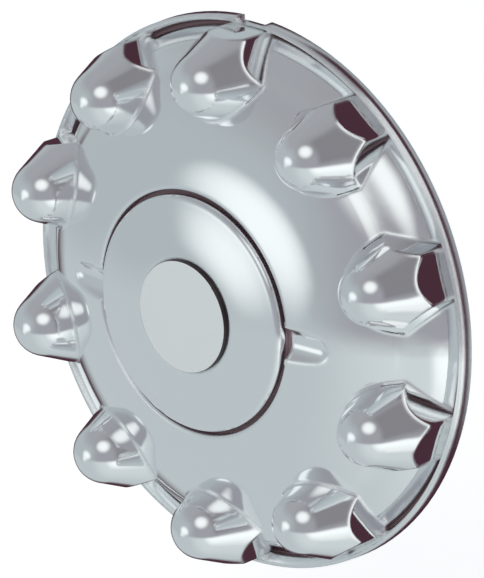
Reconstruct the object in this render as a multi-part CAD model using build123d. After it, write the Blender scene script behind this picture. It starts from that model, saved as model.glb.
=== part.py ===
"""Rear axle hub cover for a ten-stud truck wheel: moulded cover, removable centre cap and badge disc.

Built with its axis along Z and outboard +Z, then turned so that the axis lies along Y, outboard is -Y
and up is +Z. The plane Y = 0 is the wheel face that the rim and the nut sockets sit on.
All lengths are in millimetres.
"""

import math
import os

from build123d import *

# Wheel studs and their flange nuts
STUD_COUNT = 10
STUD_CIRCLE_D = 285.75
NUT_FLANGE_D = 46.5
SOCKET_CLEARANCE = 0.25

# Cover walls
WALL = 3.0
LIP_WALL = 2.4

# Nut towers: a ball nose, a tangent cone and hexagonal flats
BALL_R = 20.0
BALL_Z = 48.5
CONE_TAN = 0.42
TOWER_ROUND = 0.9

# Dome between the cap well and the rim: one arc that leaves the well's edge at a slope
WELL_R = 77.0
WELL_EDGE_Z = 58.5
DOME_EDGE_SLOPE = 7.0
DOME_END_Z = 4.7
EDGE_ROUND = 1.0

# Rim: a narrow groove that the towers' outward flats stand in, then a raised lip
FLAT_OVERLAP = 2.6
FLAT_BITE = 0.4
GROOVE_DEPTH = 2.7
GROOVE_DRAFT = 0.15
GROOVE_ROUND = 0.4
LIP_W = 5.8
LIP_DRAFT = 0.4
LIP_RISE = 10.0
LIP_CREST_W = 1.9
LIP_ROUND = 0.8
SKIRT_GAP = 2.5

# Gap cut through the lip at the top tower
NOTCH_W = 22.3
NOTCH_ANGLE = 0.8
NOTCH_DEPTH = 4.4
NOTCH_CORNER_R = 2.5

# Ledge that carries the cap
LEDGE_Z = 52.5
LEDGE_T = 3.0
LEDGE_BORE_R = 66.5

# Finger scoops on each side of the cap
SCOOP_R = 12.0
SCOOP_LENGTH = 23.0
SCOOP_FLOOR_RISE = 0.3
SCOOP_FALL = 2.2
SCOOP_ANGLES = (90.0, 270.0)

# Gussets behind the towers
GUSSET_T = 2.4
GUSSET_REACH = 19.0
GUSSET_DEPTH = 24.0

# Centre cap
CAP_GAP = 2.8
CAP_WALL = 2.4
CAP_CROWN_R = 646.0
CAP_CROWN_RISE = 7.1
CAP_EDGE_ROUND = 3.2
FINGER_COUNT = 6
FINGER_ARC = 16.0
FINGER_T = 2.2
FINGER_GAP = 0.4
HOOK_REACH = 1.5
HOOK_GAP = 0.3
HOOK_LENGTH = 3.7

# Badge disc in a shallow seat on the cap
BADGE_R = 35.2
BADGE_T = 3.2
BADGE_ROUND = 0.6
BADGE_GAP = 0.3
RECESS_DEPTH = 0.4
RECESS_ROUND = 0.2

# Sizes that follow from the ones above
STUD_R = STUD_CIRCLE_D / 2
SOCKET_R = NUT_FLANGE_D / 2 + SOCKET_CLEARANCE
TOWER_FLAT = SOCKET_R + WALL
TOP_Z = BALL_Z + BALL_R
DOME_END_R = STUD_R + TOWER_FLAT - FLAT_OVERLAP
GROOVE_R = STUD_R + TOWER_FLAT - FLAT_BITE
GROOVE_Z = DOME_END_Z - GROOVE_DEPTH
LIP_R = GROOVE_R + LIP_W
LIP_CREST_Z = GROOVE_Z + LIP_RISE
SLOPE = math.radians(DOME_EDGE_SLOPE)
DOME_RUN = DOME_END_R - WELL_R
DOME_FALL = WELL_EDGE_Z - DOME_END_Z
DOME_R = (DOME_RUN**2 + DOME_FALL**2) / (2 * (DOME_FALL * math.cos(SLOPE) - DOME_RUN * math.sin(SLOPE)))
DOME_CX = WELL_R - DOME_R * math.sin(SLOPE)
DOME_CZ = WELL_EDGE_Z - DOME_R * math.cos(SLOPE)
INNER_R = DOME_R - WALL
CONE = math.atan(CONE_TAN)
CAP_R = WELL_R - CAP_GAP
CAP_CROWN_Z = WELL_EDGE_Z + CAP_CROWN_RISE
CAP_CZ = CAP_CROWN_Z - CAP_CROWN_R
RECESS_R = BADGE_R + BADGE_GAP


def dome_z(r, radius=DOME_R):
    """Height of the dome's arc of the given radius at distance r from the axis."""
    return DOME_CZ + math.sqrt(radius**2 - (r - DOME_CX) ** 2)


def dome_reach(z, radius):
    """Distance from the axis where the dome's arc of the given radius passes height z."""
    return DOME_CX + math.sqrt(radius**2 - (z - DOME_CZ) ** 2)


def crown_z(r, drop=0.0):
    """Height of the cap's crown, or of a surface that far under it, at distance r from the axis."""
    return CAP_CZ + math.sqrt((CAP_CROWN_R - drop) ** 2 - r**2)


def spun(edges):
    """Closed profile in (distance from axis, height), turned about Z."""
    return revolve(Plane.XZ * make_face(edges), Axis.Z)


def line(*points):
    """Straight edges through the points."""
    return Polyline(*points).edges()


def dome_arc(r0, r1, radius):
    """Arc of the dome from distance r0 to distance r1."""
    middle = (r0 + r1) / 2
    points = [(r, dome_z(r, radius)) for r in (r0, middle, r1)]
    return ThreePointArc(*points).edges()


def crown_arc(r0, r1, drop=0.0):
    """Arc of the cap's crown from distance r0 to distance r1."""
    middle = (r0 + r1) / 2
    points = [(r, crown_z(r, drop)) for r in (r0, middle, r1)]
    return ThreePointArc(*points).edges()


def at_stud(shape, angle):
    """The shape moved from the axis to the stud circle, at an angle clockwise from the top."""
    return Rot(0, 0, -angle) * Pos(0, STUD_R, 0) * shape


def bullet(ball, base_z):
    """Ball nose with a tangent cone that widens down to base_z."""
    tip = (0, BALL_Z + ball)
    half = math.pi / 4 + CONE / 2
    shoulder = (ball * math.cos(half), BALL_Z + ball * math.sin(half))
    tangent = (ball * math.cos(CONE), BALL_Z + ball * math.sin(CONE))
    foot_r = tangent[0] + CONE_TAN * (tangent[1] - base_z)
    nose = ThreePointArc(tip, shoulder, tangent).edges()
    return spun(nose + line(tangent, (foot_r, base_z), (0, base_z), tip))


def rings_at(solid, r, z):
    """Circular edges of a turned solid at a distance from the axis and a height."""
    found = []
    for edge in solid.edges():
        centre = edge.center(CenterOf.BOUNDING_BOX)
        size = edge.bounding_box().size
        if abs(size.X / 2 - r) < 0.01 and abs(centre.Z - z) < 0.01 and size.Z < 0.01:
            found.append(edge)
    return found


def cover_shell():
    """Dome, cap ledge, groove and hollow lip as one turned wall."""
    crest_r = LIP_R - LIP_DRAFT
    crest_in = crest_r - LIP_CREST_W
    lip_in = crest_r - LIP_WALL
    seat_r = dome_reach(0, INNER_R)
    well_back = WELL_R + WALL
    ledge_back = LEDGE_Z - LEDGE_T
    edges = dome_arc(WELL_R, DOME_END_R, DOME_R)
    edges += line(
        (DOME_END_R, DOME_END_Z),
        (DOME_END_R + GROOVE_DRAFT, GROOVE_Z),
        (GROOVE_R - GROOVE_DRAFT, GROOVE_Z),
        (GROOVE_R, DOME_END_Z),
        (crest_in, LIP_CREST_Z),
        (crest_r, LIP_CREST_Z),
        (LIP_R, SKIRT_GAP),
        (lip_in, SKIRT_GAP),
        (lip_in, LIP_CREST_Z - 2 * LIP_WALL),
        (GROOVE_R + LIP_WALL * 0.7, 0),
        (seat_r, 0),
    )
    edges += dome_arc(seat_r, well_back, INNER_R)
    edges += line(
        (well_back, dome_z(well_back, INNER_R)),
        (well_back, ledge_back),
        (LEDGE_BORE_R, ledge_back),
        (LEDGE_BORE_R, LEDGE_Z),
        (WELL_R, LEDGE_Z),
        (WELL_R, WELL_EDGE_Z),
    )
    shell = spun(edges)
    shell = fillet(rings_at(shell, WELL_R, WELL_EDGE_Z), EDGE_ROUND)
    shell = fillet(rings_at(shell, DOME_END_R, DOME_END_Z), GROOVE_ROUND)
    shell = fillet(rings_at(shell, GROOVE_R, DOME_END_Z), GROOVE_ROUND)
    shell = fillet(rings_at(shell, crest_in, LIP_CREST_Z), LIP_ROUND)
    return fillet(rings_at(shell, crest_r, LIP_CREST_Z), LIP_ROUND)


def dome_core():
    """Space inside the dome's wall."""
    seat_r = dome_reach(-1, INNER_R)
    arc = dome_arc(WELL_R, seat_r, INNER_R)
    top = dome_z(WELL_R, INNER_R)
    return spun(arc + line((seat_r, -1), (0, -1), (0, top), (WELL_R, top)))


def dome_body():
    """Everything under the dome's outer surface, beyond the cap well."""
    arc = dome_arc(WELL_R, DOME_END_R, DOME_R)
    end_z = dome_z(DOME_END_R)
    return spun(arc + line((DOME_END_R, end_z), (WELL_R, end_z), (WELL_R, WELL_EDGE_Z)))


def tower(core):
    """One nut tower with its socket's outside, about its own stud axis at the top of the circle."""
    # The bullet's seam is turned away from the hexagon's corners
    nose = Rot(0, 0, 15) * bullet(BALL_R, 0)
    prism = extrude(RegularPolygon(TOWER_FLAT, 6, major_radius=False), TOP_Z + 1)
    hexed = nose & prism
    rims = [e for e in hexed.edges() if 1 < e.bounding_box().max.Z < BALL_Z]
    hexed = fillet(rims, TOWER_ROUND)
    sleeve = Pos(0, 0, TOP_Z / 2) * Cylinder(TOWER_FLAT, TOP_Z)
    outside = at_stud(hexed, 0) - core
    return outside + at_stud(nose & sleeve, 0)


def socket():
    """Hollow of one nut tower."""
    nose = bullet(BALL_R - WALL, -1)
    bore = Pos(0, 0, TOP_Z / 2) * Cylinder(SOCKET_R, TOP_Z + 2)
    return at_stud(nose & bore, 0)


def gusset():
    """Web from the dome's inside to the back of the top tower's socket."""
    end = STUD_R - BALL_R
    start = STUD_R - TOWER_FLAT - GUSSET_REACH
    middle = (dome_z(end) + dome_z(end, INNER_R)) / 2
    top = (dome_z(start) + dome_z(start, INNER_R)) / 2
    heel = dome_z(start, INNER_R) - 0.5
    points = [(start, top), (end, middle), (end, middle - GUSSET_DEPTH), (start, heel)]
    web = extrude(Plane.YZ * make_face(line(*points, points[0])), GUSSET_T / 2, both=True)
    return web


def scoop(radius, body=None):
    """Rounded trough from the cap's edge out across the dome, at the top of the circle."""
    near = (WELL_R - 6, LEDGE_Z + SCOOP_FLOOR_RISE + SCOOP_R + SCOOP_FALL * 6 / SCOOP_LENGTH)
    far = (WELL_R + SCOOP_LENGTH, LEDGE_Z + SCOOP_FLOOR_RISE + SCOOP_R - SCOOP_FALL)
    run = math.hypot(far[0] - near[0], far[1] - near[1])
    tilt = math.degrees(math.atan2(near[1] - far[1], far[0] - near[0]))
    channel = Pos(0, 0, run / 2) * Cylinder(radius, run) + Pos(0, 0, run) * Sphere(radius)
    placed = Pos(0, near[0], near[1]) * Rot(-90 - tilt, 0, 0) * channel
    if body is None:
        return placed
    return placed & body


def lip_notch():
    """Gap cut through the lip."""
    floor_r = LIP_R - NOTCH_DEPTH
    block = Box(NOTCH_W, 3 * NOTCH_DEPTH, 4 * LIP_CREST_Z, align=(Align.CENTER, Align.MIN, Align.CENTER))
    corners = block.edges().filter_by(Axis.Z).group_by(Axis.Y)[0]
    block = fillet(corners, NOTCH_CORNER_R)
    return Rot(0, 0, -NOTCH_ANGLE) * Pos(0, floor_r, 0) * block


def axle_cover():
    """The moulded cover."""
    cover = cover_shell()
    core = dome_core()
    one_tower = tower(core)
    one_gusset = gusset()
    one_socket = socket()
    angles = [360 / STUD_COUNT * i for i in range(STUD_COUNT)]
    cover += [Rot(0, 0, -a) * one_tower for a in angles]
    cover += [Rot(0, 0, -a) * one_gusset for a in angles]
    body = dome_body()
    cover += [Rot(0, 0, -a) * scoop(SCOOP_R + WALL, body) for a in SCOOP_ANGLES]
    cover -= [Rot(0, 0, -a) * scoop(SCOOP_R) for a in SCOOP_ANGLES]
    cover -= [Rot(0, 0, -a) * one_socket for a in angles]
    return cover - lip_notch()


def center_cap():
    """Crowned cap with a seat for the badge, a side wall on the ledge and hooked fingers under it."""
    floor = crown_z(RECESS_R) - RECESS_DEPTH
    under = floor - CAP_WALL
    inside = CAP_R - CAP_WALL
    step = RECESS_R + CAP_WALL
    edges = line((0, floor), (RECESS_R, floor), (RECESS_R, crown_z(RECESS_R)))
    edges += crown_arc(RECESS_R, CAP_R)
    edges += line(
        (CAP_R, crown_z(CAP_R)),
        (CAP_R, LEDGE_Z),
        (inside, LEDGE_Z),
        (inside, crown_z(inside, CAP_WALL)),
    )
    edges += crown_arc(inside, step, CAP_WALL)
    edges += line((step, crown_z(step, CAP_WALL)), (step, under), (0, under), (0, floor))
    cap = spun(edges)
    cap = fillet(rings_at(cap, CAP_R, crown_z(CAP_R)), CAP_EDGE_ROUND)
    cap = fillet(rings_at(cap, RECESS_R, crown_z(RECESS_R)), RECESS_ROUND)
    outer = LEDGE_BORE_R - FINGER_GAP
    inner = outer - FINGER_T
    hook_z = LEDGE_Z - LEDGE_T - HOOK_GAP
    root_z = crown_z(outer, CAP_WALL) + CAP_WALL / 2
    outline = line(
        (inner, root_z),
        (outer, root_z),
        (outer, hook_z),
        (outer + HOOK_REACH, hook_z),
        (outer + HOOK_REACH, hook_z - 0.8),
        (outer - 0.5, hook_z - HOOK_LENGTH),
        (inner, hook_z - HOOK_LENGTH),
        (inner, root_z),
    )
    finger = revolve(Plane.XZ * make_face(outline), Axis.Z, FINGER_ARC)
    for i in range(FINGER_COUNT):
        cap += Rot(0, 0, 360 / FINGER_COUNT * i - FINGER_ARC / 2) * finger
    return cap


def badge_disc():
    """Bare round badge that stands proud of its seat on the cap."""
    floor = crown_z(RECESS_R) - RECESS_DEPTH
    disc = Pos(0, 0, floor + BADGE_T / 2) * Cylinder(BADGE_R, BADGE_T)
    return fillet(rings_at(disc, BADGE_R, floor + BADGE_T), BADGE_ROUND)


os.makedirs("parts", exist_ok=True)
nodes = {
    "axle_cover": axle_cover(),
    "center_cap": center_cap(),
    "badge_disc": badge_disc(),
}
for name, shape in nodes.items():
    upright = Rot(90, 0, 0) * shape
    export_step(upright, f"parts/{name}.step")
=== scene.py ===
"""Chrome finish, foot fillets, studio and camera for the axle hub cover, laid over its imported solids."""

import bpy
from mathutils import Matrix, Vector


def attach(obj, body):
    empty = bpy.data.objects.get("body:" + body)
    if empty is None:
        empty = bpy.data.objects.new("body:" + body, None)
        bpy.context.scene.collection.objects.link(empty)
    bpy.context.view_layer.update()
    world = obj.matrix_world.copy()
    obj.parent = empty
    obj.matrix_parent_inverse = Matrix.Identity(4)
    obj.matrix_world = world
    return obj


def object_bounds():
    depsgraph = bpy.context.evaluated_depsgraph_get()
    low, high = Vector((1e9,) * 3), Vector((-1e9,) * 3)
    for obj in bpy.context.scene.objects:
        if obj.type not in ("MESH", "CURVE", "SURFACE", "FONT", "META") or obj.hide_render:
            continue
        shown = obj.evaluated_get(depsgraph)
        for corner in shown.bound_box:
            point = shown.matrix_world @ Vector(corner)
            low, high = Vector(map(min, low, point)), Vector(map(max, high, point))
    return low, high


bl_info = {
    "name": "Axle Hub Cover",
    "version": (1, 0, 0),
    "blender": (4, 5, 0),
    "location": "3D View > Sidebar > Hub Cover",
    "description": "Finishes a ten-stud axle hub cover in chrome and sets it in a small studio",
    "category": "Object",
}

import math

import bpy
from bpy.props import FloatProperty, FloatVectorProperty, IntProperty, PointerProperty
from mathutils import Matrix, Vector

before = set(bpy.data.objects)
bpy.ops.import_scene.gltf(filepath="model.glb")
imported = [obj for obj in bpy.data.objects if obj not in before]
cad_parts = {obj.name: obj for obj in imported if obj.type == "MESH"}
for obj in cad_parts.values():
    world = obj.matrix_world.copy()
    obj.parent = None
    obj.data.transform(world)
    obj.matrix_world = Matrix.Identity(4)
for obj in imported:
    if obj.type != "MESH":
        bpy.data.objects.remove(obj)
CAD_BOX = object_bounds()
BODY = "root"

# Places of a Mix node's factor, first and second inputs and of its output, for each kind of value
MIX_SOCKETS = {"VECTOR": ((0, 4, 5), 1), "RGBA": ((0, 6, 7), 2)}

# Plate: its noise, the share of the gloss that haze takes or adds, and where the hidden side begins
HAZE_SCALE = 22.0
HAZE_DETAIL = 3.0
HAZE_SHARE = 0.25
RIPPLE_SCALE = 38.0
RIPPLE_DETAIL = 1.0
HIDDEN_TURN = (0.02, 0.15)

# Edge softening: rays that look for an edge, and the width in metres over which the lip's reach sets in
BEVEL_SAMPLES = 8
LIP_BLEND = 0.002

# Seams that get painted shade, in metres: how far they pass or stop short of what is around them, and how
# softly they end
SEAM_PAST_WALL = 0.0001
SEAM_PAST_CAP = 0.0003
SEAM_PAST_LEDGE = 0.0005
SEAM_BELOW_EDGE = 0.0018
GROOVE_FLOOR = 0.001
GROOVE_BELOW_EDGE = 0.0005
SEAM_SOFT_ACROSS = 0.0002
SEAM_SOFT_DEEP = 0.0004
# Roughness that a seam adds
SEAM_DULL = 0.40

# Height off the dome's arc, in metres, within which a surface counts as dome, and the blend beyond it
DOME_LAYER = 0.0006
DOME_LAYER_SOFT = 0.0004

# Limits of the slow swells, in metres from the size that each is added to
SWELL_BEGIN = 0.0015
DIP_BEGIN = -0.0045
DIP_END = 0.0010
CREST_BEGIN = -0.0012
CREST_END = -0.0004
CREST_BLEND = 0.001
CROWN_BEGIN = 0.0005
CROWN_END = 0.0015
# Height of the dip inside the dome's swell, as a share of the swell
DIP_SHARE = -0.22

# Badge: how squarely its pale face looks outboard, and the grain and roughness of that face
FACE_TURN = (-0.80, -0.97)
GRAIN_SCALE = 1500.0
GRAIN_DETAIL = 2.0
GRAIN_ROUGHNESS = (0.34, 0.46)

# Foot fillets: points round a tower, strips across, the search for the foot and the gap to the rim
FOOT_POINTS = 300
FOOT_STRIPS = 7
FOOT_HALVINGS = 40
FOOT_NEAR = 0.5
FOOT_FAR = 1.3
FOOT_RIM_GAP = 0.0006

# Room that the plate reflects: where one tone turns into the next, along an axis of a direction
RIGHT_X = (-0.40, 0.40)
CEILING_Z = (0.20, 0.75)
GROUND_Z = (-0.22, -0.36)
GROUND_RIGHT_X = (-0.30, 0.60)
GROUND_LIT_X = (0.60, 0.92)
DARK_FRONT_Y = (0.12, 0.50)
DARK_BACK_Y = (0.95, 0.82)
DARK_Z = (-0.92, -0.76)
OPEN_X = (-0.25, -0.45)
OPEN_Z = (0.12, 0.28)
DIM_X = (0.10, 0.45)
DIM_Z = (-0.25, 0.05)
DIM_BAND_Y = (0.00, 0.20, 0.35)
RIM_X = (0.05, 0.25)
RIM_Z = (-0.80, -0.65)
RIM_BAND_Y = (0.16, 0.40, 0.09)
# Square of the distance from a light's middle at which it has faded out, in half sizes
LIGHT_FADE = 2.6

# Camera: width of its sensor in millimetres, and how far it sees in metres
SENSOR_WIDTH = 36.0
CLIP_END = 100.0


def colour_prop(name, description, default):
    """A colour that the sidebar can change."""
    return FloatVectorProperty(
        name=name, description=description, default=default, subtype="COLOR", min=0.0, soft_max=1.0
    )


def length_prop(name, description, default):
    """A length in metres that the sidebar can change."""
    return FloatProperty(name=name, description=description, default=default, unit="LENGTH", precision=5)


def angle_prop(name, description, degrees):
    """An angle that the sidebar can change."""
    angle = math.radians(degrees)
    return FloatProperty(name=name, description=description, default=angle, subtype="ANGLE")


def share_prop(name, description, default):
    """A share from 0 to 1 that the sidebar can change."""
    return FloatProperty(name=name, description=description, default=default, min=0.0, max=1.0)


def pair_prop(name, description, default):
    """Two numbers that the sidebar can change."""
    return FloatVectorProperty(name=name, description=description, default=default, size=2)


class HubCoverShape(bpy.types.PropertyGroup):
    """Sizes of the cover, cap and badge that the foot fillets and the finish follow."""

    towers: IntProperty(name="Towers", description="Number of nut towers", default=10, min=3)
    stud_radius: length_prop("Stud radius", "Radius of the circle of towers", 0.142875)
    flat: length_prop("Flat", "From a tower's axis to its flats", 0.0265)
    ball: length_prop("Ball", "Radius of a tower's nose", 0.020)
    ball_plane: length_prop("Ball plane", "Height of the noses' centres", 0.0485)
    cone_slope: FloatProperty(
        name="Cone slope", description="Widening of a tower below its nose", default=0.42
    )
    well_radius: length_prop("Well radius", "Inner edge of the dome", 0.077)
    well_edge: length_prop("Well edge", "Height of the dome's inner edge", 0.0585)
    dome_slope: angle_prop("Dome slope", "Slope of the dome at its inner edge", 7.0)
    dome_end: length_prop("Dome end", "Outer edge of the dome", 0.166775)
    dome_foot: length_prop("Dome foot", "Height of the dome's outer edge", 0.0047)
    swell_crest: length_prop("Swell crest", "Radius of the crest of the dome's swell", 0.1575)
    groove: length_prop("Groove", "Outer wall of the rim's groove", 0.168975)
    lip: length_prop("Lip", "Outer wall of the rim's lip", 0.174775)
    lip_crest: length_prop("Lip crest", "Height of the lip's crest", 0.012)
    ledge: length_prop("Ledge", "Height of the ledge under the cap", 0.0525)
    cap_radius: length_prop("Cap radius", "Radius of the centre cap", 0.0742)
    badge_radius: length_prop("Badge radius", "Radius of the badge", 0.0352)
    foot_round: length_prop("Foot round", "Fillet where a tower meets the dome", 0.0011)


class HubCoverFinish(bpy.types.PropertyGroup):
    """Colours, gloss and slow swells of the cover's surfaces."""

    chrome: colour_prop("Chrome", "Tint of the mirror plate", (0.90, 0.91, 0.92))
    # Painted shade: dark colour that stands in for the shade deep in the rim's groove and in the seam round
    # the cap
    shade: colour_prop("Shade", "Plate deep in the seams", (0.26, 0.17, 0.19))
    badge: colour_prop("Badge", "Face of the bare badge", (0.80, 0.84, 0.83))
    edge: colour_prop("Badge edge", "Side of the badge", (0.030, 0.014, 0.018))
    gloss: share_prop("Plate roughness", "Blur of the mirror plate", 0.07)
    inside: share_prop("Inside roughness", "Blur of the plate on the hidden side", 0.36)
    soften: length_prop("Edge softening", "Reach of the plate's build-up over edges", 0.0040)
    lip_soften: length_prop("Lip softening", "Reach of the plate's build-up over the rim's lip", 0.0070)
    swell: length_prop("Dome swell", "Height of the slow swell outside the towers' circle", 0.0017)
    lip_swell: length_prop("Lip swell", "Extra fall of the lip's crest towards its edge", 0.0030)
    cap_swell: length_prop("Cap swell", "Extra fall of the cap's crown towards its edge", 0.0018)
    ripple: length_prop("Plate ripple", "Depth of the ripple in the plate", 0.00002)


class HubCoverStudio(bpy.types.PropertyGroup):
    """Floor, light and camera."""

    floor_drop: length_prop("Floor drop", "Distance of the floor below the cover's lowest point", 0.12)
    floor_size: length_prop("Floor size", "Width of the floor", 40.0)
    floor_paint: colour_prop("Floor", "Paint of the floor", (0.86, 0.88, 0.89))
    floor_lift: share_prop("Floor lift", "Light that the camera alone sees in the floor", 0.62)
    left_low: colour_prop("Left wall", "Wall on the left, at eye level", (0.459, 0.513, 0.532))
    left_high: colour_prop("Left ceiling", "Room on the left, overhead", (0.380, 0.391, 0.418))
    right_low: colour_prop("Right wall", "Wall on the right, at eye level", (0.364, 0.369, 0.401))
    right_high: colour_prop("Right ceiling", "Room on the right, overhead", (0.339, 0.339, 0.364))
    right_dim: colour_prop("Right corner", "Far right, level with the cover", (0.250, 0.246, 0.266))
    ground: colour_prop("Ground", "Floor in front, as the plate reflects it", (0.530, 0.590, 0.610))
    ground_right: colour_prop("Right ground", "Floor to the right, reflected", (0.66, 0.72, 0.73))
    ground_lit: colour_prop("Lit ground", "Floor far right, reflected", (1.05, 1.10, 1.10))
    dark: colour_prop("Dark", "Room behind the cover", (0.068, 0.029, 0.042))
    rim: colour_prop("Rim light", "Lit wall at the side and a little behind", (1.00, 1.03, 1.03))
    key: colour_prop("Key light", "Large soft light above the camera", (1.00, 1.04, 1.04))
    key_azimuth: angle_prop("Key azimuth", "Turn of the key light from straight ahead", 35.0)
    key_elevation: angle_prop("Key elevation", "Height of the key light above level", 39.0)
    key_size: pair_prop("Key size", "Half width and height, a metre away", (0.34, 0.30))
    front: colour_prop("Front light", "Small soft light in front on the left", (1.00, 1.06, 1.07))
    front_azimuth: angle_prop("Front azimuth", "Turn of the front light from straight ahead", -25.0)
    front_elevation: angle_prop("Front elevation", "Height of the front light above level", -3.0)
    front_size: pair_prop("Front size", "Half width and height, a metre away", (0.235, 0.17))
    fill: FloatProperty(
        name="Fill", description="Power of the light that only dull surfaces see", default=6.5, unit="POWER"
    )
    fill_size: length_prop("Fill size", "Width of the fill light", 1.2)
    fill_distance: length_prop("Fill distance", "From the origin to the fill light", 1.5)
    fill_azimuth: angle_prop("Fill azimuth", "Turn of the fill light from straight ahead", 12.0)
    fill_elevation: angle_prop("Fill elevation", "Height of the fill light above level", 30.0)
    camera_azimuth: angle_prop("Camera azimuth", "Turn of the camera from straight ahead", 43.361)
    camera_elevation: angle_prop("Camera elevation", "Height of the camera above level", 20.048)
    camera_distance: length_prop("Camera distance", "From the centre of the noses' plane", 3.095)
    camera_lens: FloatProperty(name="Lens", description="Focal length in millimetres", default=318.1)
    camera_shift: pair_prop("Shift", "Lens shift that frames the cover", (0.0674, 0.0350))


def direction(azimuth, elevation):
    """Unit vector from the cover towards an azimuth and elevation."""
    return Vector((
        math.sin(azimuth) * math.cos(elevation),
        -math.cos(azimuth) * math.cos(elevation),
        math.sin(elevation),
    ))


class Graph:
    """Short forms for building a shader node tree."""

    def __init__(self, tree):
        self.tree = tree
        tree.nodes.clear()

    def node(self, kind, **values):
        """A node with its attributes and inputs set, or joined to another node's output."""
        made = self.tree.nodes.new(kind)
        for key, value in values.items():
            if key in made.inputs:
                self.feed(value, made.inputs[key])
            else:
                setattr(made, key, value)
        return made

    def feed(self, value, socket):
        """Joins an output to a socket, or sets the socket's own value."""
        if isinstance(value, bpy.types.NodeSocket):
            self.tree.links.new(value, socket)
        else:
            socket.default_value = value

    def math(self, operation, *values):
        """One operation on up to three values."""
        made = self.node("ShaderNodeMath", operation=operation)
        for value, socket in zip(values, made.inputs):
            self.feed(value, socket)
        return made.outputs[0]

    def product(self, first, *others):
        """All the values multiplied together."""
        for other in others:
            first = self.math("MULTIPLY", first, other)
        return first

    def along(self, vector, axis):
        """How far a vector reaches along a fixed axis."""
        made = self.node("ShaderNodeVectorMath", operation="DOT_PRODUCT")
        self.feed(vector, made.inputs[0])
        self.feed(tuple(axis), made.inputs[1])
        return made.outputs["Value"]

    def ramp(self, value, low, high):
        """Smooth rise from 0 at low to 1 at high, or a fall where low is the larger."""
        made = self.node("ShaderNodeMapRange", interpolation_type="SMOOTHSTEP")
        self.feed(value, made.inputs["Value"])
        made.inputs["From Min"].default_value = low
        made.inputs["From Max"].default_value = high
        return made.outputs["Result"]

    def band(self, value, low, high, soft):
        """1 between low and high, with soft edges outside them."""
        return self.product(self.ramp(value, low - soft, low), self.ramp(value, high + soft, high))

    def mix(self, kind, factor, first, second):
        """Value of a kind between two others."""
        made = self.node("ShaderNodeMix", data_type=kind)
        places, result = MIX_SOCKETS[kind]
        for value, place in zip((factor, first, second), places):
            self.feed(value, made.inputs[place])
        return made.outputs[result]

    def blend(self, factor, first, second):
        """Colour between two others, each an output or three numbers."""
        ends = []
        for colour in (first, second):
            if not isinstance(colour, bpy.types.NodeSocket):
                colour = (*colour, 1.0)
            ends.append(colour)
        return self.mix("RGBA", factor, *ends)

    def turn(self, factor, first, second):
        """Direction between two others."""
        return self.mix("VECTOR", factor, first, second)

    def level(self, factor, first, second):
        """Number between two others."""
        made = self.node("ShaderNodeMapRange", Value=factor)
        made.inputs["To Min"].default_value = first
        made.inputs["To Max"].default_value = second
        return made.outputs["Result"]

    def bump(self, depth, height, normal):
        """Normal of a surface that rises by a depth where the height is 1."""
        made = self.node("ShaderNodeBump", Strength=1.0, Distance=depth, Height=height, Normal=normal)
        return made.outputs["Normal"]


def new_material(name):
    """A node material and its empty graph."""
    material = bpy.data.materials.new(name)
    material.use_nodes = True
    return material, Graph(material.node_tree)


def around_axis(graph, place):
    """Distance from the cover's axis, and height above the wheel's face, at each point."""
    spot = graph.node("ShaderNodeSeparateXYZ", Vector=place)
    squares = graph.math("MULTIPLY", spot.outputs["X"], spot.outputs["X"])
    squares = graph.math("MULTIPLY_ADD", spot.outputs["Z"], spot.outputs["Z"], squares)
    return graph.math("SQRT", squares), graph.math("MULTIPLY", spot.outputs["Y"], -1.0)


def seam_shade_mask(graph, seams, radius, height):
    """Mask of the painted shade: 1 inside the seams, each given by its inner and outer radius and its
    lowest and highest point.
    """
    deep = 0.0
    for inner, outer, low, high in seams:
        ring = graph.band(radius, inner, outer, SEAM_SOFT_ACROSS)
        slot = graph.band(height, low, high, SEAM_SOFT_DEEP)
        deep = graph.math("MAXIMUM", graph.product(ring, slot), deep)
    return deep


def chrome_material(name, finish, lip, seams=(), swell=None):
    """Mirror plate with painted shade inside the listed seams, with a slow swell and duller on the hidden
    side.
    """
    material, graph = new_material(name)
    coordinates = graph.node("ShaderNodeTexCoord")
    place = coordinates.outputs["Object"]
    facing = graph.node("ShaderNodeSeparateXYZ", Vector=coordinates.outputs["Normal"])
    radius, height = around_axis(graph, place)
    haze = graph.node("ShaderNodeTexNoise", Scale=HAZE_SCALE, Detail=HAZE_DETAIL, Vector=place)
    clearest, haziest = finish.gloss * (1 - HAZE_SHARE), finish.gloss * (1 + HAZE_SHARE)
    gloss = graph.level(haze.outputs["Fac"], clearest, haziest)
    hidden = graph.ramp(facing.outputs["Y"], *HIDDEN_TURN)
    spread = graph.math("MULTIPLY_ADD", hidden, finish.inside - finish.gloss, gloss)
    reach = graph.level(graph.ramp(radius, lip, lip + LIP_BLEND), finish.soften, finish.lip_soften)
    soft = graph.node("ShaderNodeBevel", samples=BEVEL_SAMPLES, Radius=reach)
    wave = graph.node("ShaderNodeTexNoise", Scale=RIPPLE_SCALE, Detail=RIPPLE_DETAIL, Vector=place)
    normal = graph.bump(finish.ripple, wave.outputs["Fac"], soft.outputs["Normal"])
    if swell:
        normal = swell(graph, radius, height, normal)
    shader = graph.node("ShaderNodeBsdfPrincipled", Metallic=1.0, Roughness=spread, Normal=normal)
    shader.inputs["Base Color"].default_value = (*finish.chrome, 1.0)
    if seams:
        # Painted shade: inside the seams the plate takes the dark shade colour, loses its metal and edge
        # softening, and gets rougher
        deep = seam_shade_mask(graph, seams, radius, height)
        clear = graph.math("SUBTRACT", 1.0, deep)
        graph.feed(graph.product(clear, reach), soft.inputs["Radius"])
        graph.feed(graph.blend(deep, finish.chrome, finish.shade), shader.inputs["Base Color"])
        graph.feed(graph.math("MULTIPLY_ADD", deep, SEAM_DULL, spread), shader.inputs["Roughness"])
        graph.feed(clear, shader.inputs["Metallic"])
    graph.node("ShaderNodeOutputMaterial", Surface=shader.outputs["BSDF"])
    return material


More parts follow.
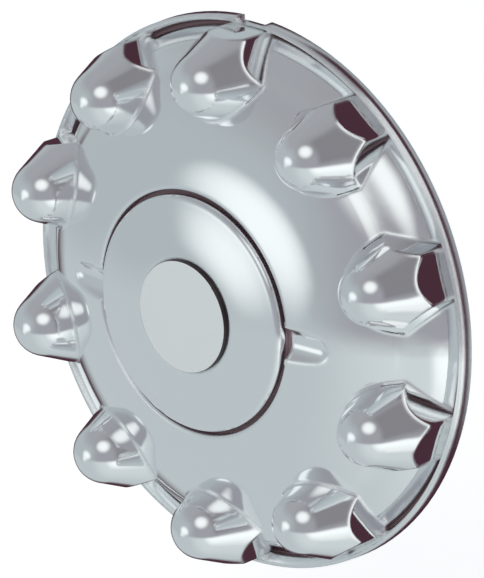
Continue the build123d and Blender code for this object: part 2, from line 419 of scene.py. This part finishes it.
def dome_circle(shape):
    """Centre and radius of the dome's arc, as distance from the axis and height."""
    run = shape.dome_end - shape.well_radius
    fall = shape.well_edge - shape.dome_foot
    across = math.sin(shape.dome_slope)
    down = math.cos(shape.dome_slope)
    radius = (run**2 + fall**2) / (2 * (fall * down - run * across))
    return shape.well_radius - radius * across, shape.well_edge - radius * down, radius


def dome_swell(shape, finish):
    """Slow swell of the dome between the towers' circle and the rim, and the lip's rounder crest."""
    centre_r, centre_z, arc = dome_circle(shape)

    def swell(graph, radius, height, normal):
        reach = graph.math("SUBTRACT", radius, centre_r)
        squares = graph.math("MULTIPLY", reach, reach)
        surface = graph.math("SQRT", graph.math("SUBTRACT", arc**2, squares))
        above = graph.math("SUBTRACT", graph.math("SUBTRACT", height, centre_z), surface)
        on_dome = graph.band(above, -DOME_LAYER, DOME_LAYER, DOME_LAYER_SOFT)
        climb = graph.ramp(radius, shape.stud_radius + SWELL_BEGIN, shape.swell_crest)
        rise = graph.product(climb, graph.ramp(radius, shape.groove, shape.swell_crest))
        dip = graph.ramp(radius, shape.stud_radius + DIP_BEGIN, shape.stud_radius + DIP_END)
        rise = graph.math("MULTIPLY_ADD", dip, DIP_SHARE, rise)
        normal = graph.turn(on_dome, normal, graph.bump(finish.swell, rise, normal))
        fall = graph.ramp(radius, shape.lip, shape.groove)
        high = graph.ramp(height, shape.lip_crest + CREST_BEGIN, shape.lip_crest + CREST_END)
        outside = graph.ramp(radius, shape.groove, shape.groove + CREST_BLEND)
        on_crest = graph.product(high, outside)
        return graph.turn(on_crest, normal, graph.bump(finish.lip_swell, fall, normal))

    return swell


def cap_swell(shape, finish):
    """Rounder fall of the cap's crown towards its edge."""

    def swell(graph, radius, height, normal):
        rise = graph.ramp(radius, shape.cap_radius, shape.badge_radius)
        on_crown = graph.ramp(height, shape.well_edge + CROWN_BEGIN, shape.well_edge + CROWN_END)
        return graph.turn(on_crown, normal, graph.bump(finish.cap_swell, rise, normal))

    return swell


def badge_material(finish):
    """Satin pale face, dark on the sides that don't look outboard."""
    material, graph = new_material("badge_face")
    coordinates = graph.node("ShaderNodeTexCoord")
    place = coordinates.outputs["Object"]
    facing = graph.node("ShaderNodeSeparateXYZ", Vector=coordinates.outputs["Normal"])
    face = graph.ramp(facing.outputs["Y"], *FACE_TURN)
    grain = graph.node("ShaderNodeTexNoise", Scale=GRAIN_SCALE, Detail=GRAIN_DETAIL, Vector=place)
    satin = graph.level(grain.outputs["Fac"], *GRAIN_ROUGHNESS)
    shader = graph.node("ShaderNodeBsdfPrincipled")
    graph.feed(graph.blend(face, finish.edge, finish.badge), shader.inputs["Base Color"])
    graph.feed(satin, shader.inputs["Roughness"])
    graph.node("ShaderNodeOutputMaterial", Surface=shader.outputs["BSDF"])
    return material


def dress(node, material):
    """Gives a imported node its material."""
    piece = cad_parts[node]
    piece.data.materials.clear()
    piece.data.materials.append(material)


def rim_groove(shape):
    """Seam in the rim's groove that gets painted shade, as its inner and outer radius and its lowest and
    highest point.
    """
    return (
        shape.dome_end - SEAM_PAST_WALL,
        shape.groove + SEAM_PAST_WALL,
        GROOVE_FLOOR,
        shape.dome_foot - GROOVE_BELOW_EDGE,
    )


def cap_seam(shape):
    """Seam round the cap that gets painted shade, as its inner and outer radius and its lowest and highest
    point.
    """
    return (
        shape.cap_radius - SEAM_PAST_CAP,
        shape.well_radius + SEAM_PAST_WALL,
        shape.ledge - SEAM_PAST_LEDGE,
        shape.well_edge - SEAM_BELOW_EDGE,
    )


class HUBCOVER_OT_plate(bpy.types.Operator):
    """Plate the moulded cover and its cap, with painted shade in the cover's seams"""

    bl_idname = "hubcover.plate"
    bl_label = "Plate Cover and Cap"

    def execute(self, context):
        finish = context.scene.hub_cover_finish
        shape = context.scene.hub_cover_shape
        # The rim's groove and the seam round the cap get painted shade
        seams = (rim_groove(shape), cap_seam(shape))
        swell = dome_swell(shape, finish)
        dress("axle_cover", chrome_material("cover_plate", finish, shape.groove, seams, swell))
        crown = cap_swell(shape, finish)
        dress("center_cap", chrome_material("cap_plate", finish, shape.groove, swell=crown))
        return {"FINISHED"}


class HUBCOVER_OT_badge(bpy.types.Operator):
    """Finish the bare badge"""

    bl_idname = "hubcover.badge"
    bl_label = "Finish Badge"

    def execute(self, context):
        dress("badge_disc", badge_material(context.scene.hub_cover_finish))
        return {"FINISHED"}


def foot_at(shape, turn):
    """Where the top tower's side meets the dome.

    Gives the point, the outward normals of tower and dome, and the point's distance from the axis.
    """
    centre_r, centre_z, radius = dome_circle(shape)
    cone = math.atan(shape.cone_slope)
    shoulder_r = shape.ball * math.cos(cone)
    shoulder_z = shape.ball_plane + shape.ball * math.sin(cone)
    sixth = math.pi / 3
    side = math.pi / 2 + sixth * round((turn - math.pi / 2) / sixth)
    flat = shape.flat / math.cos(turn - side)
    near, far = shape.ball * FOOT_NEAR, shape.flat * FOOT_FAR
    for _ in range(FOOT_HALVINGS):
        reach = (near + far) / 2
        x = reach * math.cos(turn)
        y = shape.stud_radius + reach * math.sin(turn)
        r = math.hypot(x, y)
        z = centre_z + math.sqrt(max(radius**2 - (r - centre_r) ** 2, 0.0))
        wide = shoulder_r + shape.cone_slope * (shoulder_z - z)
        if reach < min(wide, flat):
            near = reach
        else:
            far = reach
    lean = (r - centre_r) / radius
    dome_normal = Vector((lean * x / r, lean * y / r, math.sqrt(1 - lean**2)))
    tower_normal = Vector((math.cos(side), math.sin(side), 0.0))
    if wide < flat:
        tower_normal = Vector((
            math.cos(turn) * math.cos(cone), math.sin(turn) * math.cos(cone), math.sin(cone)
        ))
    return Vector((x, y, z)), tower_normal, dome_normal, r


def foot_strip(shape):
    """Rows of points over the fillet at the top tower's foot, from one side of the rim to the other."""
    rows = []
    for i in range(FOOT_POINTS + 1):
        turn = math.pi / 2 + math.tau * i / FOOT_POINTS
        point, tower_normal, dome_normal, r = foot_at(shape, turn)
        if r > shape.dome_end - FOOT_RIM_GAP:
            continue
        cosine = tower_normal.dot(dome_normal)
        centre = point + (tower_normal + dome_normal) * (shape.foot_round / (1 + cosine))
        row = []
        for k in range(FOOT_STRIPS + 1):
            normal = tower_normal.slerp(dome_normal, k / FOOT_STRIPS)
            row.append(centre - normal * shape.foot_round)
        rows.append(row)
    return rows


def feet_mesh(shape):
    """Mesh of the fillets at the feet of all the towers."""
    rows = foot_strip(shape)
    width = len(rows[0])
    upright = Matrix.Rotation(math.pi / 2, 4, "X")
    points, faces = [], []
    for tower in range(shape.towers):
        turn = upright @ Matrix.Rotation(-math.tau * tower / shape.towers, 4, "Z")
        start = len(points)
        points += [turn @ point for row in rows for point in row]
        for i in range(len(rows) - 1):
            for k in range(width - 1):
                corner = start + i * width + k
                faces.append((corner, corner + 1, corner + width + 1, corner + width))
    mesh = bpy.data.meshes.new("tower_feet")
    mesh.from_pydata(points, [], faces)
    return mesh


class HUBCOVER_OT_feet(bpy.types.Operator):
    """Run a small fillet round the foot of every tower"""

    bl_idname = "hubcover.feet"
    bl_label = "Add Foot Fillets"

    def execute(self, context):
        finish = context.scene.hub_cover_finish
        shape = context.scene.hub_cover_shape
        feet = bpy.data.objects.new("tower_feet", feet_mesh(shape))
        context.scene.collection.objects.link(feet)
        bpy.ops.object.select_all(action="DESELECT")
        feet.select_set(True)
        context.view_layer.objects.active = feet
        bpy.ops.object.shade_smooth()
        feet.data.materials.append(chrome_material("foot_plate", finish, shape.groove))
        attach(feet, BODY)
        return {"FINISHED"}


def add_floor(studio):
    """Pale floor that keeps the cover's shadow. The camera sees it lifted to about white."""
    material, graph = new_material("pale_floor")
    paint = graph.node("ShaderNodeBsdfDiffuse", Color=(*studio.floor_paint, 1.0))
    rays = graph.node("ShaderNodeLightPath")
    lift = graph.product(rays.outputs["Is Camera Ray"], studio.floor_lift)
    glow = graph.node("ShaderNodeEmission", Strength=lift)
    both = graph.node("ShaderNodeAddShader")
    graph.feed(paint.outputs["BSDF"], both.inputs[0])
    graph.feed(glow.outputs["Emission"], both.inputs[1])
    graph.node("ShaderNodeOutputMaterial", Surface=both.outputs["Shader"])
    height = CAD_BOX[0].z - studio.floor_drop
    bpy.ops.mesh.primitive_plane_add(size=studio.floor_size, location=(0, 0, height))
    floor = bpy.context.object
    floor.name = "studio_floor"
    floor.visible_glossy = False
    floor.data.materials.append(material)


def soft_light(graph, way, room, towards, size, colour):
    """The room with a soft-edged oval light in it."""
    width, height = size
    level = Vector((towards.y, -towards.x, 0.0)).normalized()
    upward = level.cross(towards)
    ahead = graph.along(way, towards)
    across = graph.math("DIVIDE", graph.along(way, level / width), ahead)
    up = graph.math("DIVIDE", graph.along(way, upward / height), ahead)
    squares = graph.math("MULTIPLY_ADD", across, across, graph.math("MULTIPLY", up, up))
    in_front = graph.math("GREATER_THAN", ahead, 0.0)
    spot = graph.product(graph.ramp(squares, LIGHT_FADE, 0.0), in_front)
    return graph.blend(spot, room, colour)


def room_tones(graph, way, studio):
    """Colours of the soft grey studio in every direction, without its lights."""
    axes = graph.node("ShaderNodeSeparateXYZ", Vector=way)
    x, y, z = axes.outputs["X"], axes.outputs["Y"], axes.outputs["Z"]
    right = graph.ramp(x, *RIGHT_X)
    low = graph.blend(right, studio.left_low, studio.right_low)
    high = graph.blend(right, studio.left_high, studio.right_high)
    wall = graph.blend(graph.ramp(z, *CEILING_Z), low, high)
    ground = graph.blend(graph.ramp(x, *GROUND_RIGHT_X), studio.ground, studio.ground_right)
    ground = graph.blend(graph.ramp(x, *GROUND_LIT_X), ground, studio.ground_lit)
    room = graph.blend(graph.ramp(z, *GROUND_Z), wall, ground)
    open_side = graph.product(graph.ramp(x, *OPEN_X), graph.ramp(z, *OPEN_Z))
    closed = graph.math("SUBTRACT", 1.0, open_side)
    depth = graph.product(graph.ramp(y, *DARK_FRONT_Y), graph.ramp(y, *DARK_BACK_Y))
    behind = graph.product(depth, graph.ramp(z, *DARK_Z), closed)
    room = graph.blend(behind, room, studio.dark)
    corner = graph.product(graph.ramp(x, *DIM_X), graph.ramp(z, *DIM_Z))
    dim = graph.product(corner, graph.band(y, *DIM_BAND_Y))
    room = graph.blend(dim, room, studio.right_dim)
    side = graph.product(graph.ramp(x, *RIM_X), graph.ramp(z, *RIM_Z))
    lit = graph.product(side, graph.band(y, *RIM_BAND_Y))
    return graph.blend(lit, room, studio.rim)


def add_world(studio):
    """White to the camera, and a soft grey studio with two lights to everything else."""
    world = bpy.data.worlds.new("studio")
    bpy.context.scene.world = world
    world.use_nodes = True
    graph = Graph(world.node_tree)
    way = graph.node("ShaderNodeTexCoord").outputs["Generated"]
    room = room_tones(graph, way, studio)
    key = direction(studio.key_azimuth, studio.key_elevation)
    room = soft_light(graph, way, room, key, studio.key_size, studio.key)
    front = direction(studio.front_azimuth, studio.front_elevation)
    room = soft_light(graph, way, room, front, studio.front_size, studio.front)
    sky = graph.node("ShaderNodeBackground", Color=room)
    white = graph.node("ShaderNodeBackground", Color=(1.0, 1.0, 1.0, 1.0), Strength=1.0)
    rays = graph.node("ShaderNodeLightPath")
    seen = graph.node("ShaderNodeMixShader", Fac=rays.outputs["Is Camera Ray"])
    graph.feed(sky.outputs["Background"], seen.inputs[1])
    graph.feed(white.outputs["Background"], seen.inputs[2])
    graph.node("ShaderNodeOutputWorld", Surface=seen.outputs["Shader"])


def add_fill(studio):
    """Light that only dull surfaces see."""
    lamp = bpy.data.lights.new("fill", "AREA")
    lamp.size = studio.fill_size
    lamp.energy = studio.fill
    holder = bpy.data.objects.new("fill", lamp)
    bpy.context.scene.collection.objects.link(holder)
    towards = direction(studio.fill_azimuth, studio.fill_elevation)
    holder.location = towards * studio.fill_distance
    holder.rotation_mode = "QUATERNION"
    holder.rotation_quaternion = towards.to_track_quat("Z", "Y")
    holder.visible_glossy = False


def add_camera(studio, shape):
    """Camera at the photograph's viewing angle."""
    camera = bpy.data.cameras.new("camera")
    camera.lens = studio.camera_lens
    camera.sensor_width = SENSOR_WIDTH
    camera.shift_x, camera.shift_y = studio.camera_shift
    camera.clip_end = CLIP_END
    holder = bpy.data.objects.new("camera", camera)
    bpy.context.scene.collection.objects.link(holder)
    back = direction(studio.camera_azimuth, studio.camera_elevation)
    holder.location = Vector((0, -shape.ball_plane, 0)) + back * studio.camera_distance
    holder.rotation_mode = "QUATERNION"
    holder.rotation_quaternion = (-back).to_track_quat("-Z", "Y")
    bpy.context.scene.camera = holder


class HUBCOVER_OT_stage(bpy.types.Operator):
    """Set the floor, light and camera"""

    bl_idname = "hubcover.stage"
    bl_label = "Set Stage"

    def execute(self, context):
        studio = context.scene.hub_cover_studio
        context.scene.view_settings.view_transform = "Standard"
        bpy.ops.object.select_all(action="DESELECT")
        add_world(studio)
        add_floor(studio)
        add_fill(studio)
        add_camera(studio, context.scene.hub_cover_shape)
        return {"FINISHED"}


class HUBCOVER_PT_panel(bpy.types.Panel):
    """Lists the steps that finish the hub cover, and the values they use"""

    bl_idname = "HUBCOVER_PT_panel"
    bl_label = "Hub Cover"
    bl_space_type = "VIEW_3D"
    bl_region_type = "UI"
    bl_category = "Hub Cover"

    def draw(self, context):
        for step in STEPS:
            self.layout.operator(step.bl_idname)
        scene = context.scene
        for group in (scene.hub_cover_shape, scene.hub_cover_finish, scene.hub_cover_studio):
            for name in group.bl_rna.properties.keys():
                if name not in {"rna_type", "name"}:
                    self.layout.prop(group, name)


STEPS = (HUBCOVER_OT_plate, HUBCOVER_OT_badge, HUBCOVER_OT_feet, HUBCOVER_OT_stage)
CLASSES = (HubCoverShape, HubCoverFinish, HubCoverStudio, *STEPS, HUBCOVER_PT_panel)


def register():
    for cls in CLASSES:
        bpy.utils.register_class(cls)
    bpy.types.Scene.hub_cover_shape = PointerProperty(type=HubCoverShape)
    bpy.types.Scene.hub_cover_finish = PointerProperty(type=HubCoverFinish)
    bpy.types.Scene.hub_cover_studio = PointerProperty(type=HubCoverStudio)


def unregister():
    del bpy.types.Scene.hub_cover_studio
    del bpy.types.Scene.hub_cover_finish
    del bpy.types.Scene.hub_cover_shape
    for cls in reversed(CLASSES):
        bpy.utils.unregister_class(cls)


def main():
    register()
    bpy.ops.hubcover.plate()
    bpy.ops.hubcover.badge()
    bpy.ops.hubcover.feet()
    bpy.ops.hubcover.stage()


if __name__ == "__main__":
    main()
